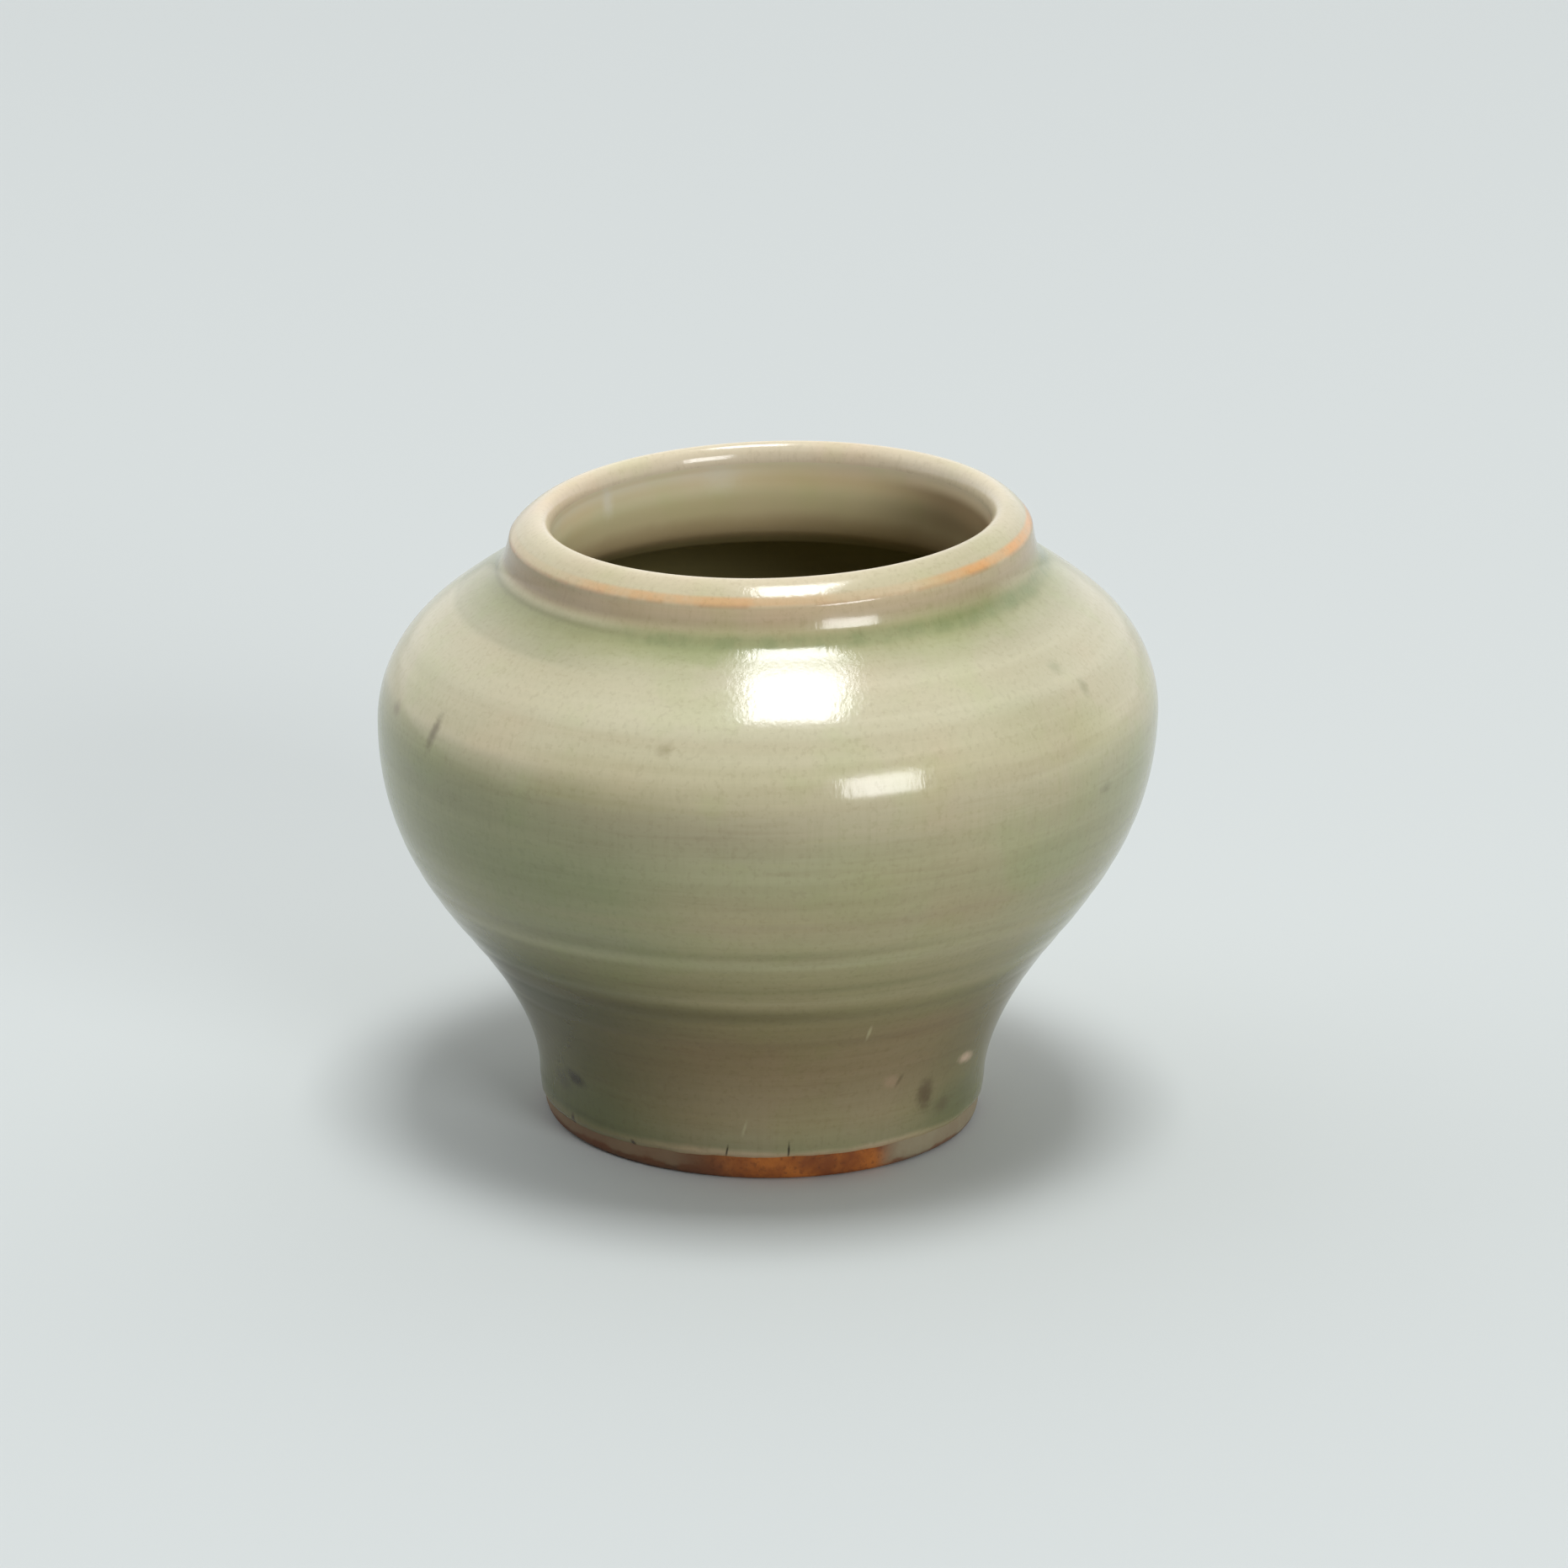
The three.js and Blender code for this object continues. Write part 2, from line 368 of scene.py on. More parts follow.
def facing(around, angle, full, none):
    """1 within full degrees of an angle round the jar, 0 beyond none degrees from it."""
    turned = around.maths("WRAP", around - math.radians(angle), math.pi, -math.pi)
    away = around.maths("ABSOLUTE", turned)
    return away.step(math.radians(none), math.radians(full))


def attribute(flow, name):
    return flow.node("ShaderNodeAttribute", {"attribute_name": name}, None, "Fac")


def finish_surface(flow, shader, colour, rough, bumps=None, bump_depth=0.0):
    """Links a material's colour, roughness and fine bumps to its shader."""
    links = flow.tree.links
    links.new(colour.socket, shader.inputs["Base Color"])
    links.new(rough.socket, shader.inputs["Roughness"])
    if bumps:
        bump = flow.node("ShaderNodeBump", None,
                         {"Strength": 0.5, "Distance": bump_depth, "Height": bumps})
        links.new(bump.socket, shader.inputs["Normal"])


# Grain of the clay, in spots to a metre: its blotches, burnt grit, sheen and sandy surface
BLOTCHES, GRIT, CLAY_SHEEN, SAND = 160.0, 1500.0, 400.0, 900.0
SAND_DEPTH = 0.00012


def fired_clay(name, light, dark, burnt, sides=(), washes=()):
    """Bare clay: blotches, burnt grit, and other colours or a wash of glaze on some sides."""
    material, flow, shader = paint(name)
    place = surface_place(flow)
    blotches = noise(flow, place, BLOTCHES, 4.0).step(0.38, 0.62)
    grit = noise(flow, place, GRIT, 2.0).step(0.52, 0.70)
    colour = blend(flow, blotches, linear(*dark), linear(*light))
    # Colours on some sides of the clay; on the foot, the darker one on the left is painted shade
    for angle, full, none, side_colour in sides:
        share = facing(bearing(flow), angle, full, none) * (0.7 + 0.3 * blotches)
        share = share * attribute(flow, "way").step(*RING_OUTSIDE)
        colour = blend(flow, share, colour, linear(*side_colour))
    colour = blend(flow, grit * 0.45, colour, linear(*burnt))
    for angle, full, none, above, wash_colour in washes:
        share = facing(bearing(flow), angle, full, none) * (0.75 + 0.25 * blotches)
        share = share * attribute(flow, "way").step(*RING_OUTSIDE)
        height = flow.node("ShaderNodeSeparateXYZ", None, {"Vector": place}, "Z")
        wavy = height + WASH_WAVER * (blotches - 0.5)
        upper = wavy.step(above - WASH_EDGE, above + WASH_EDGE)
        colour = blend(flow, share * upper, colour, linear(*wash_colour))
    rough = 0.62 + 0.3 * noise(flow, place, CLAY_SHEEN)
    finish_surface(flow, shader, colour, rough, noise(flow, place, SAND, 4.0), SAND_DEPTH)
    return material


# Darker and browner on the left, painted shade where the foot turns from the light, and greyer
# on the right: the angle, how far the colour is full on both sides of it, where it ends, in
# degrees, and the colour
FOOT_SIDES = [(-165.0, 56.0, 74.0, (100, 72, 52)), (-5.0, 44.0, 56.0, (128, 104, 82))]

# Thin glaze run over the clay on both sides of the bare front: the same, with the height in
# metres that it stops at before the colour, how much that wavers and how soft its edge is
FOOT_WASHES = [(-162.0, 46.0, 60.0, 0.0013, (136, 112, 86)),
               (-5.0, 46.0, 54.0, 0.0009, (166, 154, 126))]
WASH_WAVER = 0.0006
WASH_EDGE = 0.0003

# Where the outside of the standing ring begins, in millimetres along the outline
RING_OUTSIDE = (27.0, 28.9)

foot_line = RECESS + BARE_RIM + CLAY_UNDER_GLAZE + CLAY_INSIDE
foot_points, foot_ways = spaced(foot_line, CLAY_STEP)
foot_clay_material = fired_clay("burnt foot clay", (196, 116, 48), (140, 76, 34),
                                (104, 62, 36), FOOT_SIDES, FOOT_WASHES)
foot_clay = turn_piece("foot_clay", foot_points, foot_ways, foot_clay_material, TURNS_OF_FOOT)
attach(foot_clay, "root")
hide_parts("foot_section")


# Clay walls. The thrown walls of the body, the shoulder and the neck lie wholly inside the
# two coats of glaze, so the solids of the model stay as they are, in the body's grey clay.
wall_clay_material = fired_clay("body clay", (172, 158, 134), (146, 132, 110), (112, 92, 72))
for wall in ("lower_body", "shoulder", "neck_and_lip"):
    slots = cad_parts[wall].material_slots
    for slot in slots:
        slot.material = wall_clay_material


# Outside glaze. Celadon poured and wiped over the raw clay, from just above the bare rim up
# over the lip: olive and beige in wheel-turned bands, pooled green where it ran thick and
# broken through to orange clay on the sharp edge of the lip.
TURNS_OF_GLAZE = 240
GLAZE_STEP = 0.38
LIP_STEP = 0.2
COAT = 0.6
GLAZE_IOR = 1.6
GLAZE_EDGE = (28.7, 2.4)
WAIST = (29.0, 5.0)
TURNING_LINE = (39.2, 27.0)
BELLY = (50.0, 54.0)
NECK = (37.2, 71.65)
COLLAR_FOOT = (34.1, 74.8)
ARRIS = (33.3, 78.0)
LIP_CREST = (29.6, 80.7)
MOUTH = (28.0, 78.4)
FLARE_SLOPE = math.radians(52.0)
WAIST_REACH, FLARE_BELOW, FLARE_ABOVE, BELLY_REACH = 9.5, 2.0, 9.4, 12.0
SHOULDER_WIDTH, SHOULDER_RISE = 21.8, 18.4
SHOULDER_TOP_RADIUS = 43.4
SHOULDER_REACH, NECK_REACH, COLLAR_REACH, LIP_REACH, CREST_REACH = 2.5, 1.6, 1.05, 1.2, 1.2
UPWARDS = math.pi / 2
INWARDS = math.pi
NECK_WAY, COLLAR_FOOT_WAY, COLLAR_TOP_WAY, LIP_WAY = (
    math.radians(way) for way in (147.0, 114.0, 100.0, 118.0))

# Marks of the turning tool: height, half width and depth of each groove
GROOVES = [
    (64.0, 0.6, 0.03), (40.6, 0.7, 0.03), (36.3, 0.7, 0.05), (32.8, 0.9, 0.04),
    (30.8, 0.6, 0.03), (27.8, 0.8, 0.07), (24.6, 0.6, 0.04), (20.5, 0.6, 0.04),
]

# Rise and run of the coat's lower edge: how much higher on the near side, which side that
# is, how much it wavers, and how far up the coat this is felt
GLAZE_EDGE_RUN = (0.9, math.radians(-66.0), 0.9, 6.0)

# The coat thins towards its lower edge: how far its surface sinks and over what way, how
# thick it is left there, and the way that it takes to come to its full thickness
EDGE_SINK, EDGE_SINK_WAY = 0.34, 1.1
EDGE_COAT, EDGE_COAT_WAY = 0.36, 4.0

# The back of the coat needs only every fifth point. The finger rings fade towards the collar.
BACK_PICK = 5
RING_DEPTH, RING_FADE = 0.03, 6.0


def curved(start, start_angle, start_reach, end, end_angle, end_reach, steps=24):
    """A curve that leaves and arrives along given directions, without its first point."""
    a, d = Vector(start), Vector(end)
    b = a + start_reach * Vector((math.cos(start_angle), math.sin(start_angle)))
    c = d - end_reach * Vector((math.cos(end_angle), math.sin(end_angle)))
    points = []
    for i in range(1, steps + 1):
        t = i / steps
        s = 1.0 - t
        point = s ** 3 * a + 3 * s * s * t * b + 3 * s * t * t * c + t ** 3 * d
        points.append(tuple(point))
    return points


def arc(centre, width, rise, start, end, steps=24):
    """Part of an ellipse, without its first point."""
    turns = [start + (end - start) * i / steps for i in range(1, steps + 1)]
    return [(centre[0] + width * math.cos(t), centre[1] + rise * math.sin(t)) for t in turns]


def under(line, depth):
    """The same line at a depth under the surface, square to it."""
    moved = []
    for i, (radius, height) in enumerate(line):
        before, after = Vector(line[max(i - 1, 0)]), Vector(line[min(i + 1, len(line) - 1)])
        way = (after - before).normalized()
        here = depth(i) if callable(depth) else depth
        moved.append((radius - way.y * here, height + way.x * here))
    return moved


shoulder_centre = (BELLY[0] - SHOULDER_WIDTH, BELLY[1])
top_angle = math.acos((SHOULDER_TOP_RADIUS - shoulder_centre[0]) / SHOULDER_WIDTH)
shoulder_top = (SHOULDER_TOP_RADIUS, BELLY[1] + SHOULDER_RISE * math.sin(top_angle))
over_shoulder = math.atan2(SHOULDER_RISE * math.cos(top_angle),
                           -SHOULDER_WIDTH * math.sin(top_angle))
body_line = [GLAZE_EDGE, WAIST]
body_line += curved(WAIST, UPWARDS, WAIST_REACH, TURNING_LINE, FLARE_SLOPE, FLARE_BELOW)
body_line += curved(TURNING_LINE, FLARE_SLOPE, FLARE_ABOVE, BELLY, UPWARDS, BELLY_REACH)
body_line += arc(shoulder_centre, SHOULDER_WIDTH, SHOULDER_RISE, 0.0, top_angle, 32)
body_line += curved(shoulder_top, over_shoulder, SHOULDER_REACH, NECK, NECK_WAY, SHOULDER_REACH)
body_line += curved(NECK, NECK_WAY, NECK_REACH, COLLAR_FOOT, COLLAR_FOOT_WAY, NECK_REACH)
lip_line = [COLLAR_FOOT]
lip_line += curved(COLLAR_FOOT, COLLAR_FOOT_WAY, COLLAR_REACH,
                   ARRIS, COLLAR_TOP_WAY, COLLAR_REACH)
lip_line += curved(ARRIS, LIP_WAY, LIP_REACH, LIP_CREST, INWARDS, CREST_REACH)
lip_line += arc((LIP_CREST[0], MOUTH[1]), LIP_CREST[0] - MOUTH[0],
                LIP_CREST[1] - MOUTH[1], UPWARDS, INWARDS, 12)
glaze_points, glaze_ways = spaced(body_line, GLAZE_STEP)
lip_points, lip_ways = spaced(lip_line, LIP_STEP)
collar_index, collar_way = len(glaze_points) - 1, glaze_ways[-1]
glaze_points += lip_points[1:]
glaze_ways += [collar_way + way for way in lip_ways[1:]]


def groove_depth(height):
    return sum(depth * math.exp(-((height - middle) / width) ** 2)
               for middle, width, depth in GROOVES)


def ease(share):
    share = min(max(share, 0.0), 1.0)
    return share * share * (3.0 - 2.0 * share)


def skin_depth(i):
    """How far the coat's surface lies under the plain outline at one of its points."""
    grooves = groove_depth(glaze_points[i][1]) if i <= collar_index else 0.0
    return grooves + EDGE_SINK * (1.0 - ease(glaze_ways[i] / EDGE_SINK_WAY)) ** 2


def back_depth(i):
    return EDGE_COAT + (COAT - EDGE_COAT) * ease(glaze_ways[i] / EDGE_COAT_WAY)


outer_skin = under(glaze_points, skin_depth)
outer_back = under(glaze_points, back_depth)
back_picks = list(range(0, len(glaze_points) - 1, BACK_PICK)) + [len(glaze_points) - 1]
outer_line = outer_skin + [outer_back[i] for i in reversed(back_picks)] + [outer_skin[0]]
outer_ways = glaze_ways + [glaze_ways[i] for i in reversed(back_picks)] + [glaze_ways[0]]
outer_ringed = [ease((collar_way - way) / RING_FADE) for way in glaze_ways]
outer_ringed += [0.0] * (len(back_picks) + 1)


def where(line, angle, height):
    """The point of a turned line at an angle in degrees and a height in millimetres."""
    radius = min(line, key=lambda point: abs(point[1] - height))[0]
    turn = math.radians(angle)
    lifted = height + sum(
        rise * ease((height - low) / (high - low)) * radius * math.cos(turn - direction)
        for rise, direction, low, high in (BELLY_TILT, MOUTH_TILT))
    return Vector((radius * math.cos(turn), radius * math.sin(turn), lifted)) * MM


# Blemishes reach this deep into the coat, and their edges are ragged by this share of them
MARK_DEPTH = 4.0
MARK_RAGGED, MARK_GRAIN = 0.5, 1400.0


def mark(flow, line, angle, height, width, tall, slant=0.0):
    """A small blemish, 1 in its middle: its width, how tall it is, and how far it slants."""
    turn = math.radians(angle) + UPWARDS
    spot = flow.node("ShaderNodeMapping", {"vector_type": "TEXTURE"}, {
        "Vector": surface_place(flow), "Location": where(line, angle, height),
        "Rotation": (0.0, math.radians(slant), turn),
        "Scale": (width * MM, MARK_DEPTH * MM, tall * MM)})
    distance = flow.node("ShaderNodeVectorMath", {"operation": "LENGTH"},
                         {"Vector": spot}, "Value")
    wobble = noise(flow, surface_place(flow), MARK_GRAIN, 2.0)
    return (distance + MARK_RAGGED * (wobble - 0.5)).step(1.0, 0.1)


def coloured_by_way(flow, along, colours):
    """The colour at a way along the outline, from a list of ways and colours."""
    length = colours[-1][0]
    stops = [(way / length, linear(*colour)) for way, colour in colours]
    return flow.node("ShaderNodeValToRGB", {"stops": stops}, {"Fac": along / length})


# Base colour of the coat by its way up in millimetres from the glaze edge, on the near side.
# Its last stop, where the lip turns down inside, is made paler as painted light from the front
GLAZE_COLOURS = [
    (0, (210, 187, 153)), (0.9, (208, 186, 153)), (1.7, (161, 154, 120)), (6, (166, 151, 116)),
    (9, (160, 143, 110)), (14, (146, 127, 93)), (22, (140, 125, 88)), (25.5, (142, 130, 91)),
    (27, (152, 140, 99)), (28.2, (164, 152, 113)), (29.4, (163, 152, 114)),
    (30.5, (153, 143, 104)), (34, (153, 144, 103)), (36.5, (160, 151, 111)),
    (39, (163, 154, 112)), (42, (165, 158, 119)), (48, (170, 163, 123)), (54, (186, 180, 141)),
    (57, (197, 187, 150)), (60, (206, 196, 163)), (64, (214, 206, 172)), (69, (217, 211, 180)),
    (75, (218, 212, 181)), (78, (207, 202, 170)), (80, (194, 192, 154)), (82, (181, 181, 137)),
    (83.4, (176, 173, 130)), (84.2, (189, 183, 142)), (86, (202, 184, 153)),
    (87.4, (212, 192, 158)), (89.5, (218, 208, 174)), (95, (250, 236, 208)),
]

# How the two flanks differ from the near side, partly in the coat's own colour and partly as
# painted shade where they turn from the light: the light that they send back of red, green
# and blue, next to the foot and at the belly, and on the shoulder and under the collar
LEFT_LOW, LEFT_HIGH = (0.35, 0.41, 0.26, 1.0), (0.62, 0.69, 0.60, 1.0)
RIGHT_LOW, RIGHT_HIGH = (0.66, 0.72, 0.50, 1.0), (0.84, 0.90, 0.88, 1.0)
LEFT_SHOULDER, FAR_LEFT_SHOULDER = (0.96, 0.96, 0.95, 1.0), (0.92, 0.91, 0.88, 1.0)
FAR_RIGHT_SHOULDER = (0.88, 0.88, 0.86, 1.0)
FAR_LEFT_NECK = (0.84, 0.86, 0.84, 1.0)
LEFT_COLLAR, FAR_LEFT_COLLAR = (0.84, 0.84, 0.84, 1.0), (0.80, 0.76, 0.70, 1.0)

# The same for what the wheel and the kiln left all over the coat
DARK_RING, PALE_RING = (0.86, 0.84, 0.78, 1.0), (1.10, 1.09, 1.12, 1.0)
DARK_DASH, PALE_DASH = (0.84, 0.80, 0.76, 1.0), (1.08, 1.09, 1.02, 1.0)
GREEN_WISP, GREEN_CLOUD = (0.92, 0.99, 0.86, 1.0), (0.88, 0.98, 0.88, 1.0)
PINK_CLOUD = (1.06, 0.95, 0.94, 1.0)
FLECK, STREAK = (0.84, 0.82, 0.78, 1.0), (0.90, 0.90, 0.86, 1.0)

# Colours that lie over the coat: the pool under the collar and its shaded part on the left,
# the painted reflection along the collar's foot, and the clay and the thick glaze on the lip
POOL, SHADED_POOL, COLLAR_REFLECTION = (138, 150, 102), (114, 114, 74), (198, 190, 158)
ORANGE_EDGE, BROWN_EDGE, GREEN_LIP = (232, 172, 108), (190, 134, 88), (186, 184, 142)

# Grain of the coat, in spots to a metre. What runs down it is drawn out to a long way.
DRIFT, CLOUDS, WISPS, FLECKS, SHEEN = 28.0, 34.0, 95.0, 1300.0, 220.0
DRIPS, STREAKS, WORN_EDGE = 420.0, 1500.0, 260.0
RUN_DOWN = 0.06
STREAK_DEPTH = 0.00004
RINGS_ACROSS, RINGS_UP = 10.0, 0.55
DASHES_ACROSS, DASHES_UP = 70.0, 0.8

# Lines and bands that fade round the body: way up, half width, angle of the strongest part,
# share there and colour
GLAZE_LINES = [
    (67.8, 0.9, -100.0, 0.20, (180, 164, 124)), (56.0, 4.5, -105.0, 0.18, (152, 136, 110)),
    (43.7, 0.9, -80.0, 0.18, (156, 136, 106)), (38.9, 1.0, -105.0, 0.34, (116, 114, 76)),
    (37.2, 1.0, -105.0, 0.34, (172, 170, 132)), (31.9, 0.9, -85.0, 0.30, (118, 111, 72)),
    (26.3, 1.9, -122.0, 0.70, (92, 84, 48)), (19.4, 0.9, -90.0, 0.20, (116, 98, 70)),
]

# Blemishes: angle, height, width and tallness in millimetres, slant, share and colour
BLEMISHES = [
    (-147.8, 59.6, 1.3, 3.8, 12.0, 0.70, (104, 92, 60)),
    (-162.0, 59.3, 2.0, 1.3, 0.0, 0.45, (128, 112, 84)),
    (-105.2, 63.4, 1.6, 1.1, -20.0, 0.40, (148, 134, 96)),
    (-35.0, 67.1, 1.8, 1.1, 0.0, 0.35, (150, 150, 116)),
    (-31.8, 64.3, 1.3, 1.6, 20.0, 0.40, (140, 138, 102)),
    (-32.0, 51.8, 2.0, 1.1, 0.0, 0.40, (126, 122, 88)),
    (-31.2, 12.5, 2.8, 1.2, 12.0, 0.85, (222, 192, 162)),
    (-57.5, 12.8, 2.0, 1.4, 30.0, 0.55, (182, 152, 122)),
    (-55.2, 12.8, 0.5, 1.7, 20.0, 0.50, (92, 78, 54)),
    (-143.4, 9.7, 3.0, 1.6, 8.0, 0.90, (52, 42, 26)),
    (-150.0, 8.4, 3.2, 2.0, 0.0, 0.50, (66, 60, 40)),
    (-45.2, 9.4, 2.2, 3.6, -14.0, 0.70, (84, 62, 36)),
    (-37.5, 6.8, 2.4, 1.6, 0.0, 0.45, (100, 84, 56)),
    (-67.8, 22.0, 0.35, 1.8, 0.0, 0.60, (190, 182, 140)),
    (-94.0, 7.4, 0.3, 1.8, 14.0, 0.55, (186, 178, 140)),
    (-98.4, 4.1, 0.2, 1.4, 10.0, 0.90, (48, 36, 26)),
    (-82.8, 4.3, 0.22, 1.9, 0.0, 0.90, (48, 36, 26)),
    (-147.2, 3.2, 0.6, 1.5, 20.0, 0.85, (58, 34, 22)),
    (-124.5, 3.2, 0.6, 0.7, 0.0, 0.85, (62, 40, 26)),
]

# Soft patches of another colour: angle, way up, degrees and millimetres that it reaches, share
# and colour
GLAZE_PATCHES = [
    (-104.0, 56.0, 28.0, 4.0, 0.22, (150, 131, 107)),
    (-86.0, 44.5, 30.0, 7.0, 0.35, (178, 157, 122)),
    (-122.0, 49.5, 22.0, 8.0, 0.35, (122, 130, 90)),
    (-120.0, 39.5, 24.0, 3.5, 0.25, (122, 128, 100)),
    (-42.0, 47.5, 15.0, 6.0, 0.35, (150, 158, 110)),
    (-57.0, 43.5, 11.0, 5.0, 0.30, (170, 146, 106)),
    (-72.0, 51.5, 13.0, 4.5, 0.25, (178, 168, 118)),
    (-95.0, 18.0, 22.0, 4.0, 0.25, (138, 112, 84)),
    (-52.0, 20.0, 16.0, 4.0, 0.25, (146, 116, 82)),
    (-139.0, 4.5, 20.0, 5.0, 0.45, (106, 110, 76)),
    (-30.0, 4.5, 20.0, 5.0, 0.50, (108, 112, 78)),
    (-41.0, 83.0, 18.0, 2.4, 0.22, (130, 142, 92)),
    (-136.0, 25.0, 40.0, 9.0, 0.30, (34, 34, 8)),
    (-145.0, 52.0, 20.0, 8.0, 0.10, (60, 58, 40)),
    (-54.0, 88.0, 24.0, 1.0, 0.20, (250, 236, 205)),
    (-106.0, 81.5, 18.0, 2.6, 0.28, (148, 162, 108)),
    (-25.0, 82.6, 14.0, 1.8, 0.35, (128, 140, 92)),
]


class CoatColour:
    """The outside coat's colour, laid on from the plain bands to the blemishes."""

    def __init__(self, flow):
        self.flow = flow
        self.place = surface_place(flow)
        self.around = bearing(flow)
        self.height = attribute(flow, "height")
        self.way = attribute(flow, "way")
        self.left = facing(self.around, -170.0, 25.0, 90.0)
        self.far_left = facing(self.around, -170.0, 28.0, 58.0)
        self.drift = noise(flow, self.place, DRIFT, 2.0)
        self.clouds = noise(flow, self.place, CLOUDS, 3.0)
        self.wisps = noise(flow, self.place, WISPS, 3.0)
        self.run_down = flow.node("ShaderNodeMapping", None,
                                  {"Vector": self.place, "Scale": (1, 1, RUN_DOWN)})
        self.drips = noise(flow, self.run_down, DRIPS, 3.0)
        self.streaks = noise(flow, self.run_down, STREAKS, 2.0)
        self.along = self.wavering_way()
        self.colour = coloured_by_way(flow, self.along, GLAZE_COLOURS)

    def wavering_way(self):
        """The way up the coat, shifted so that no band is even: drips under the collar, and a
        lower edge to the beige shoulder and to the pool on the left."""
        way = self.way
        soft = 1.2 * (self.drift - 0.5) + 1.6 * (self.wisps - 0.5)
        along = way + soft * way.step(90.0, 60.0)
        along = along + 2.2 * (self.drips - 0.5) * way.near(80.5, 3.5, 1.0)
        return along + self.left * (0.8 * way.step(70.0, 80.0) - 3.0 * way.near(59.0, 6.0, 3.0))

    def shade(self, share, by):
        self.colour = tint(self.flow, share, self.colour, by)

    def lay(self, share, colour):
        self.colour = blend(self.flow, share, self.colour, linear(*colour))

    def flanks(self):
        """Darker and greener flanks below the shoulder, and a little greyer above it: partly the
        coat's own colour, partly painted shade.
        """
        left_high = facing(self.around, -170.0, 38.0, 95.0)
        right = facing(self.around, -5.0, 20.0, 57.0)
        far_right = facing(self.around, -20.0, 15.0, 40.0)
        low = self.way.step(44.0, 28.0)
        below = self.along.step(63.0, 56.0)
        above = self.along.step(60.0, 66.0)
        self.shade(self.left * low, LEFT_LOW)
        self.shade(left_high * below * (1.0 - low), LEFT_HIGH)
        self.shade(right * below, blend(self.flow, low, RIGHT_HIGH, RIGHT_LOW))
        self.shade(self.left * above, LEFT_SHOULDER)
        self.shade(self.far_left * above, FAR_LEFT_SHOULDER)
        self.shade(far_right * above, FAR_RIGHT_SHOULDER)
        self.shade(self.far_left * self.way.near(79.5, 4.0, 2.5), FAR_LEFT_NECK)

    def patches_and_lines(self):
        for angle, middle, degrees, reach, share, colour in GLAZE_PATCHES:
            patch = facing(self.around, angle, 0.2 * degrees, degrees)
            patch = patch * self.along.near(middle, reach, 0.3)
            self.lay(patch * (share * (0.5 + self.clouds)), colour)
        for middle, reach, angle, share, colour in GLAZE_LINES:
            strength = facing(self.around, angle, 10.0, 65.0) * (share * 0.8) + share * 0.2
            strength = strength * self.way.near(middle, reach * 1.6) * (0.4 + 1.2 * self.drift)
            self.lay(strength, colour)

    def rings_and_dashes(self):
        """Faint rings all round and short dashes, from the wheel."""
        across = self.flow.node("ShaderNodeSeparateXYZ", None, {"Vector": self.place})
        ringed = self.flow.node("ShaderNodeCombineXYZ", None, {
            "X": across * RINGS_ACROSS, "Y": 0.0, "Z": self.height * RINGS_UP})
        rings = noise(self.flow, ringed, 1.0, 4.0, 0.6)
        self.shade(rings.step(0.60, 0.36) * 0.3, DARK_RING)
        self.shade(rings.step(0.5, 0.70) * 0.3, PALE_RING)
        dashed = self.flow.node("ShaderNodeCombineXYZ", None, {
            "X": across * DASHES_ACROSS, "Y": across.other("Y") * DASHES_ACROSS,
            "Z": self.height * DASHES_UP})
        dashes = noise(self.flow, dashed, 1.0, 4.0, 0.6)
        body = self.way.step(66.0, 56.0)
        self.shade(dashes.step(0.52, 0.70) * (0.12 + 0.24 * body), DARK_DASH)
        self.shade(dashes.step(0.46, 0.30) * (0.12 + 0.2 * body), PALE_DASH)

    def thick_and_thin(self):
        """Soft clouds: greener where the coat is thicker, pinker where it is thin."""
        self.shade(self.wisps.step(0.50, 0.66) * 0.45, GREEN_WISP)
        self.shade(self.clouds.step(0.52, 0.70) * 0.3, GREEN_CLOUD)
        self.shade(self.clouds.step(0.48, 0.30) * 0.5, PINK_CLOUD)

    def pool_and_collar(self):
        """The green pool under the collar, and the collar: a pale painted reflection along its
        foot on the left, and a greyer face above that."""
        way, far_left = self.way, self.far_left
        pool = way.near(82.9, 1.7, 0.3) * (0.30 + 0.35 * self.drips.step(0.40, 0.65))
        self.lay(pool * (1.0 - 0.6 * far_left), POOL)
        self.lay(way.near(83.1, 0.9, 0.1) * far_left * 0.5, SHADED_POOL)
        self.shade(self.left * way.near(86.5, 1.9, 1.1), LEFT_COLLAR)
        self.shade(far_left * way.near(86.2, 2.1, 1.3), FAR_LEFT_COLLAR)
        # Painted reflection: a pale line along the collar's foot on the far left
        self.lay(far_left * way.near(83.7, 0.8, 0.1) * 0.32, COLLAR_REFLECTION)

    def lip(self):
        """The lip's sharp edge, broken through to orange clay on the right and a little on
        the left, and glaze that stands thicker on its near side."""
        worn = noise(self.flow, self.run_down, WORN_EDGE, 3.0).step(0.34, 0.62)
        bare = facing(self.around, -10.0, 26.0, 50.0)
        bare = bare + 0.6 * facing(self.around, -108.0, 18.0, 36.0)
        edge = self.way.near(88.5, 0.9, 0.3) * (0.12 + bare * (0.40 + 0.4 * worn))
        self.lay(edge, ORANGE_EDGE)
        self.lay(self.way.near(87.8, 0.5) * 0.35 * worn, BROWN_EDGE)
        near_side = facing(self.around, -45.0, 12.0, 36.0)
        self.lay(near_side * self.way.near(91.0, 1.6, 0.6) * 0.3, GREEN_LIP)

    def flecks_and_blemishes(self):
        flecks = noise(self.flow, self.place, FLECKS, 2.0)
        self.shade(flecks.step(0.54, 0.68) * 0.4, FLECK)
        self.shade(self.streaks.step(0.45, 0.65) * 0.3, STREAK)
        for angle, height, width, tall, slant, share, colour in BLEMISHES:
            spot = mark(self.flow, glaze_points[:collar_index],
                        angle, height, width, tall, slant)
            self.lay(spot * share, colour)


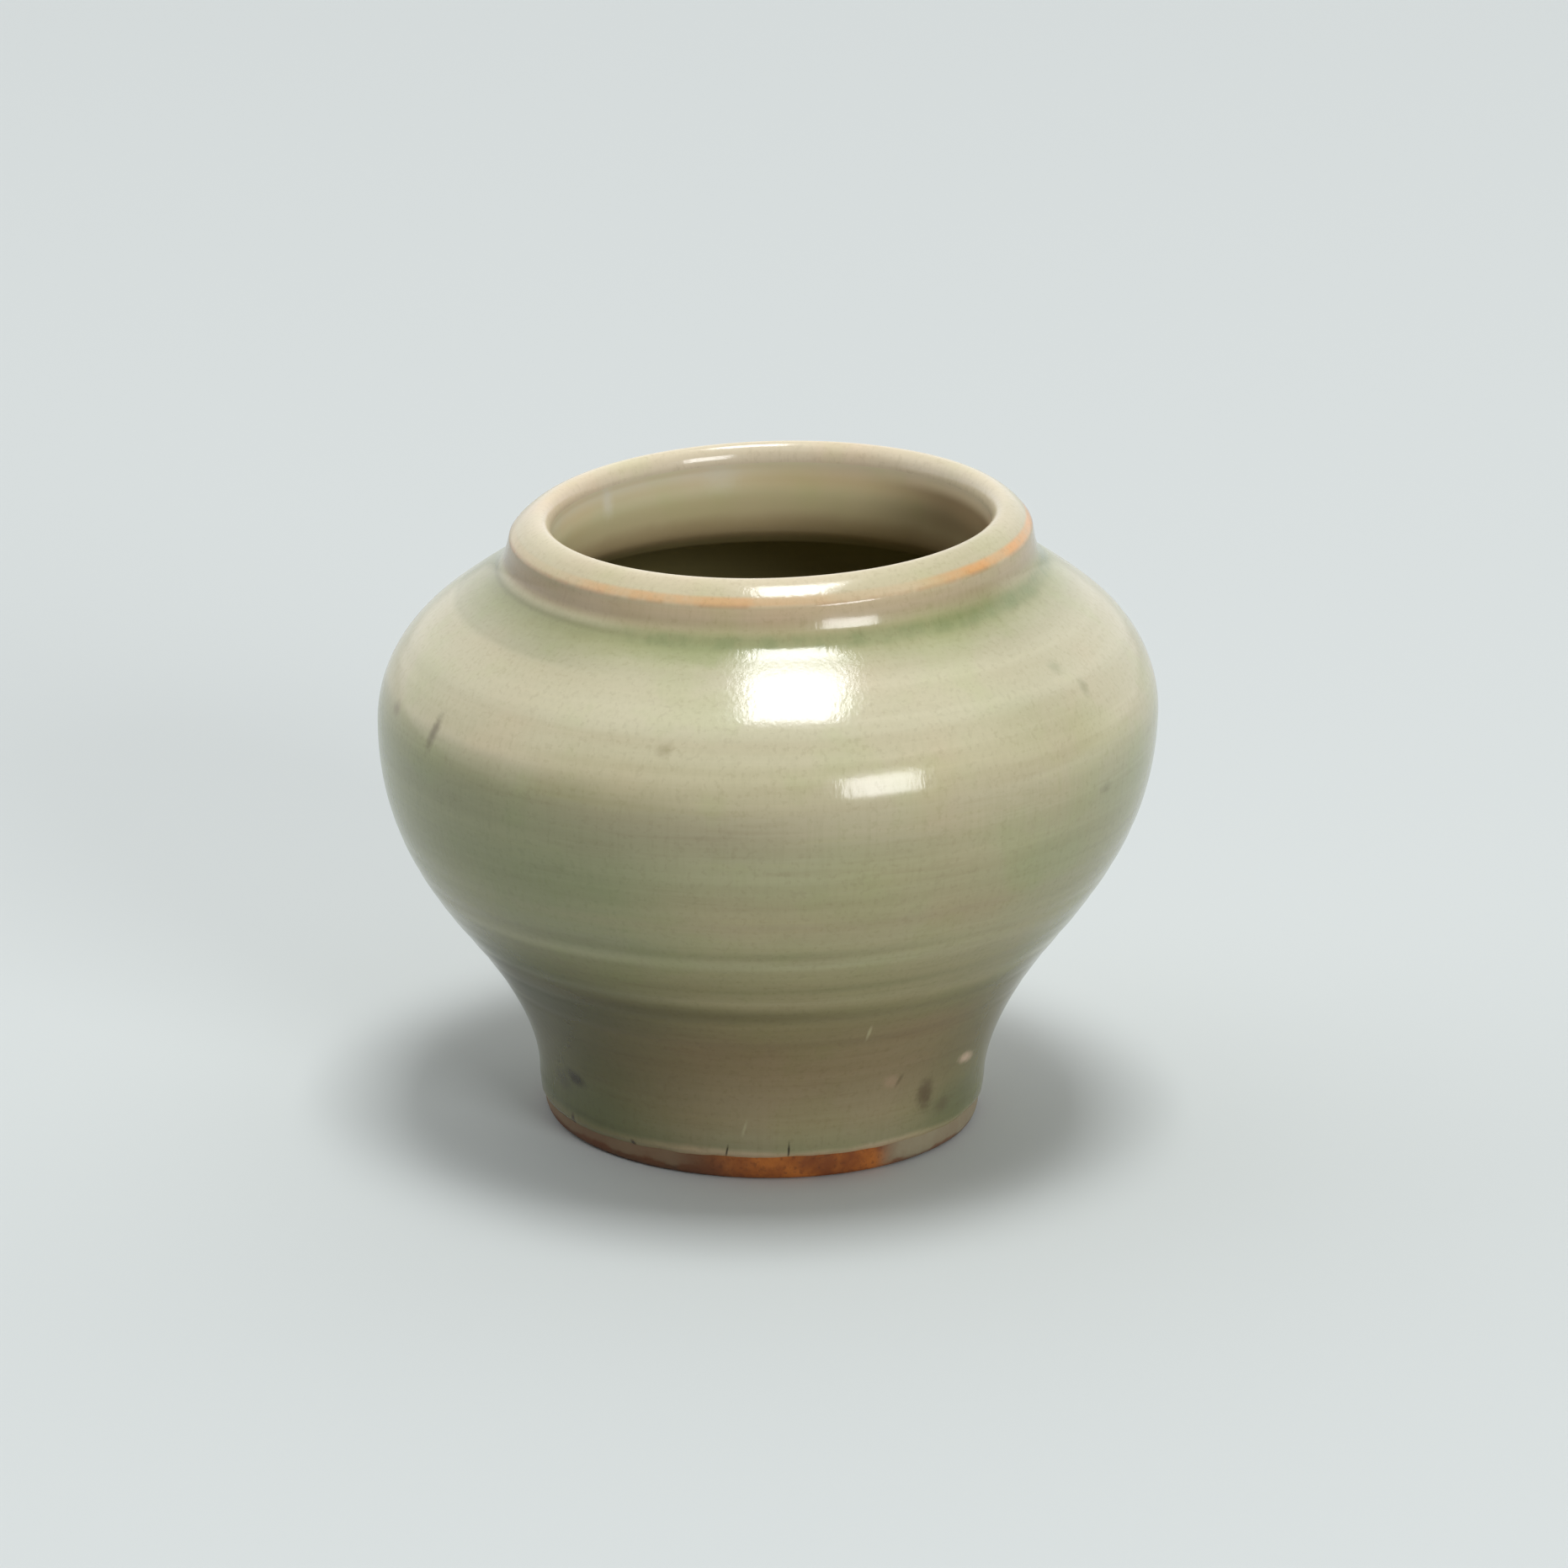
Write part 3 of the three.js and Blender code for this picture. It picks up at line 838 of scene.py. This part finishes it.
def celadon():
    material, flow, shader = paint("celadon glaze")
    coat = CoatColour(flow)
    coat.flanks()
    coat.patches_and_lines()
    coat.rings_and_dashes()
    coat.thick_and_thin()
    coat.pool_and_collar()
    coat.lip()
    coat.flecks_and_blemishes()
    rough = 0.10 + 0.10 * noise(flow, coat.place, SHEEN)
    finish_surface(flow, shader, coat.colour, rough, coat.streaks, STREAK_DEPTH)
    shader.inputs["IOR"].default_value = GLAZE_IOR
    return material


outer_glaze = turn_piece("celadon_coat_outside", outer_line, outer_ways, celadon(),
                         TURNS_OF_GLAZE, RING_DEPTH, outer_ringed, GLAZE_EDGE_RUN)
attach(outer_glaze, "root")
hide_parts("outer_glaze")


# Inside glaze. The same celadon swilled round inside, from the lip down over the floor, a
# shade browner and with the potter's finger rings showing through it.
TURNS_OF_INSIDE = 192
INSIDE_STEP = 0.6
THROAT = (27.6, 74.0)
THROAT_FOOT = (28.4, 69.2)
UNDER_SHOULDER_RADIUS = 30.4
INNER_SHOULDER_WIDTH, INNER_SHOULDER_RISE = 16.2, 13.2
INNER_BELLY = (45.2, 54.0)
INNER_FLARE = (34.8, 30.4)
INNER_BELLY_REACH, INNER_ABOVE, INNER_BELOW, FLOOR_REACH = 9.0, 8.0, 10.0, 12.0
FLOOR = (12.0, 10.4)
DOWNWARDS = -UPWARDS
THROAT_FOOT_WAY = math.radians(-62.0)
MOUTH_REACH, THROAT_REACH, THROAT_FOOT_REACH = 1.6, 1.8, 1.2

# Finger rings inside: their depth, the way down from the mouth at which they begin and grow
# to their full depth, and how near the middle of the floor they have faded
INSIDE_RING_DEPTH, INSIDE_RING_START, INSIDE_RING_GROWTH, FLOOR_RING_FADE = 0.12, 3.0, 8.0, 10.0

inner_centre = (INNER_BELLY[0] - INNER_SHOULDER_WIDTH, INNER_BELLY[1])
throat_angle = math.acos((UNDER_SHOULDER_RADIUS - inner_centre[0]) / INNER_SHOULDER_WIDTH)
under_shoulder = (UNDER_SHOULDER_RADIUS,
                  INNER_BELLY[1] + INNER_SHOULDER_RISE * math.sin(throat_angle))
inside_line = [MOUTH]
inside_line += curved(MOUTH, DOWNWARDS, MOUTH_REACH, THROAT, DOWNWARDS, MOUTH_REACH, 10)
inside_line += curved(THROAT, DOWNWARDS, THROAT_REACH,
                      THROAT_FOOT, THROAT_FOOT_WAY, THROAT_FOOT_REACH, 10)
inside_line += [under_shoulder]
inside_line += arc(inner_centre, INNER_SHOULDER_WIDTH, INNER_SHOULDER_RISE, throat_angle, 0.0)
inside_line += curved(INNER_BELLY, DOWNWARDS, INNER_BELLY_REACH,
                      INNER_FLARE, FLARE_SLOPE + math.pi, INNER_ABOVE)
inside_line += curved(INNER_FLARE, FLARE_SLOPE + math.pi, INNER_BELOW,
                      FLOOR, INWARDS, FLOOR_REACH)
inside_line += [(0.0, FLOOR[1])]
inside_points, inside_ways = spaced(inside_line, INSIDE_STEP)
throat_index = next(i for i, point in enumerate(inside_points) if point[1] < THROAT[1])
inside_back = [(max(radius, 0.0), height) for radius, height in under(inside_points, COAT)]
inside_back[-1] = (0.0, FLOOR[1] - COAT)
inner_line = list(reversed(inside_back)) + inside_points
inner_ways = list(reversed(inside_ways)) + inside_ways
inner_ringed = [0.0] * len(inside_back)
inner_ringed += [
    ease((way - INSIDE_RING_START) / INSIDE_RING_GROWTH) * ease(radius / FLOOR_RING_FADE)
    for way, (radius, _) in zip(inside_ways, inside_points)]

# Colour by the way down from the mouth. Its first, palest stops, on the inner side of the lip,
# are painted light from the front
INSIDE_COLOURS = [
    (0, (248, 234, 204)), (1.0, (240, 222, 186)), (2.1, (228, 208, 164)), (3.8, (228, 216, 172)),
    (6.1, (226, 212, 168)), (7.4, (208, 190, 148)), (9.6, (180, 160, 122)), (11, (150, 138, 98)),
    (20, (140, 132, 90)), (96, (140, 130, 92)),
]

# The light that parts of the inside send back of red, green and blue, against that colour:
# greyer and paler on the left, brown on the right, and clouds of green and pink
INSIDE_LEFT, INSIDE_PALE = (0.96, 1.0, 0.97, 1.0), (1.08, 1.14, 1.26, 1.0)
INSIDE_BROWN = (0.45, 0.40, 0.38, 1.0)
INSIDE_GREEN, INSIDE_PINK = (0.90, 1.0, 0.84, 1.0), (1.06, 0.94, 0.88, 1.0)
INSIDE_CLOUDS, INSIDE_WISPS = 60.0, 150.0

# Painted reflections near the mouth, pale streaks on the inner wall: angle, height, width and
# tallness in millimetres, share
INSIDE_PAINTED_REFLECTIONS = [(140.0, 76.6, 1.6, 3.2, 0.45), (104.0, 77.0, 3.6, 3.4, 0.30)]
PAINTED_REFLECTION = (250, 246, 232)


def inside_celadon():
    material, flow, shader = paint("inner celadon glaze")
    place = surface_place(flow)
    around = bearing(flow)
    way = attribute(flow, "way")
    clouds = noise(flow, place, INSIDE_CLOUDS, 3.0)
    wisps = noise(flow, place, INSIDE_WISPS, 3.0)
    along = way + 1.6 * (wisps - 0.5) * way.step(3.0, 7.0)
    colour = coloured_by_way(flow, along, INSIDE_COLOURS)
    upper = way.step(10.0, 2.0)
    left = facing(around, 165.0, 20.0, 60.0)
    colour = tint(flow, left * upper, colour, INSIDE_LEFT)
    pale = facing(around, 140.0, 28.0, 60.0) * way.step(4.6, 2.4) * way.step(0.4, 1.0)
    colour = tint(flow, pale, colour, INSIDE_PALE)
    brown = facing(around, 10.0, 22.0, 60.0) * way.step(0.5, 2.0)
    brown = brown * (1.0 - 0.4 * way.step(4.0, 8.0)) * way.step(45.0, 20.0)
    colour = tint(flow, brown, colour, INSIDE_BROWN)
    colour = tint(flow, clouds.step(0.5, 0.7) * 0.5 * upper, colour, INSIDE_GREEN)
    colour = tint(flow, clouds.step(0.46, 0.30) * 0.5 * upper, colour, INSIDE_PINK)
    # Painted reflections: pale streaks laid over the inner wall near the mouth
    for angle, height, width, tall, share in INSIDE_PAINTED_REFLECTIONS:
        reflection = mark(flow, inside_points[:throat_index], angle, height, width, tall)
        colour = blend(flow, reflection * share, colour, linear(*PAINTED_REFLECTION))
    # Duller on the floor, where ash and dust settled in the kiln
    rough = 0.12 + 0.12 * noise(flow, place, SHEEN) + 0.34 * way.step(55.0, 80.0)
    finish_surface(flow, shader, colour, rough)
    shader.inputs["IOR"].default_value = GLAZE_IOR
    return material


inner_glaze = turn_piece("celadon_coat_inside", inner_line, inner_ways, inside_celadon(),
                         TURNS_OF_INSIDE, INSIDE_RING_DEPTH, inner_ringed)
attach(inner_glaze, "root")
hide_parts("inner_glaze")


# Floor, lamps and surroundings: a pale blue-grey sheet of paper, a wide soft lamp overhead
# that reaches back behind the jar, and a smaller one standing at the front right.
PAPER = (213, 219, 219)
PAPER_SIZE = 6.0
PAPER_ROUGHNESS, PAPER_SHEEN = 0.9, 0.2

# Overhead lamp: its height in metres, where its left, right, front and back edges stand in
# degrees from straight above, and the dimmer strip that reaches further back
OVERHEAD_HEIGHT = 5.0
OVERHEAD_SPAN = (-6.0, 11.2, -13.0, 6.0)
OVERHEAD_GLOW = 14.0
REAR_EDGE = 10.0
REAR_GLOW = 7.0

SIDE_LAMP = {"azimuth": -56.5, "elevation": 20.0, "distance": 3.5, "width": 1.36, "tall": 1.02}
SIDE_GLOW = 9.0

# Glow of the room, of the ceiling and of the backdrop behind the jar, with how far the backdrop
# is swung to one side, and where its near edge and its top fade out
ROOM_GLOW = 0.02
CEILING_GLOW = 0.42
BACKDROP_GLOW = 1.0
BACKDROP_SWING = -0.35
BACKDROP_EDGE = (-0.2, 0.25)
BACKDROP_TOP = (0.50, 0.85)

half = PAPER_SIZE / 2
paper_mesh = bpy.data.meshes.new("paper")
paper_mesh.from_pydata([(-half, -half, 0), (half, -half, 0), (half, half, 0), (-half, half, 0)],
                       [], [(0, 1, 2, 3)])
paper = bpy.data.objects.new("paper", paper_mesh)
scene.collection.objects.link(paper)
paper_material, _, paper_shader = paint("paper")
paper_shader.inputs["Base Color"].default_value = linear(*PAPER)
paper_shader.inputs["Roughness"].default_value = PAPER_ROUGHNESS
paper_shader.inputs["Specular IOR Level"].default_value = PAPER_SHEEN
paper_mesh.materials.append(paper_material)


def lamp(name, place, width, tall, glow):
    """A flat soft lamp that faces the jar; glow is how bright its face is, with paper at 1."""
    data = bpy.data.lights.new(name, "AREA")
    data.shape = "RECTANGLE"
    data.size = width
    data.size_y = tall
    data.energy = glow * math.pi * width * tall
    made = bpy.data.objects.new(name, data)
    scene.collection.objects.link(made)
    made.location = place
    return made


left, right_side, front, back, rear = (
    OVERHEAD_HEIGHT * math.tan(math.radians(angle)) for angle in (*OVERHEAD_SPAN, REAR_EDGE))
lamp("overhead lamp", ((left + right_side) / 2, (front + back) / 2, OVERHEAD_HEIGHT),
     right_side - left, back - front, OVERHEAD_GLOW)
lamp("dimmer rear edge of the overhead lamp",
     ((left + right_side) / 2, (back + rear) / 2, OVERHEAD_HEIGHT),
     right_side - left, rear - back, REAR_GLOW)

turn = math.radians(SIDE_LAMP["azimuth"])
rise = math.radians(SIDE_LAMP["elevation"])
towards_lamp = Vector((math.cos(turn) * math.cos(rise), math.sin(turn) * math.cos(rise),
                       math.sin(rise)))
side_lamp = lamp("side lamp", CAMERA_AIM + towards_lamp * SIDE_LAMP["distance"],
                 SIDE_LAMP["width"], SIDE_LAMP["tall"], SIDE_GLOW)
side_lamp.rotation_euler = towards_lamp.to_track_quat("Z", "Y").to_euler()

world = bpy.data.worlds.new("studio")
world.use_nodes = True
scene.world = world
sky = Flow(world.node_tree)
direction = sky.node("ShaderNodeTexCoord", output="Generated")
across = sky.node("ShaderNodeSeparateXYZ", None, {"Vector": direction}, "X")
inward = across.other("Y")
upward = across.other("Z")
behind = (inward + BACKDROP_SWING * across).step(BACKDROP_EDGE[0], BACKDROP_EDGE[1])
low = upward.step(BACKDROP_TOP[1], BACKDROP_TOP[0])
glow = ROOM_GLOW + BACKDROP_GLOW * behind * low + CEILING_GLOW * (1.0 - low)
seen = sky.node("ShaderNodeLightPath", output="Is Camera Ray")
studio = sky.node("ShaderNodeCombineColor", None, {"Red": glow, "Green": glow, "Blue": glow})
studio_colour = blend(sky, seen, studio, linear(*PAPER))
background = world.node_tree.nodes["Background"]
world.node_tree.links.new(studio_colour.socket, background.inputs["Color"])

scene.view_settings.view_transform = "Standard"
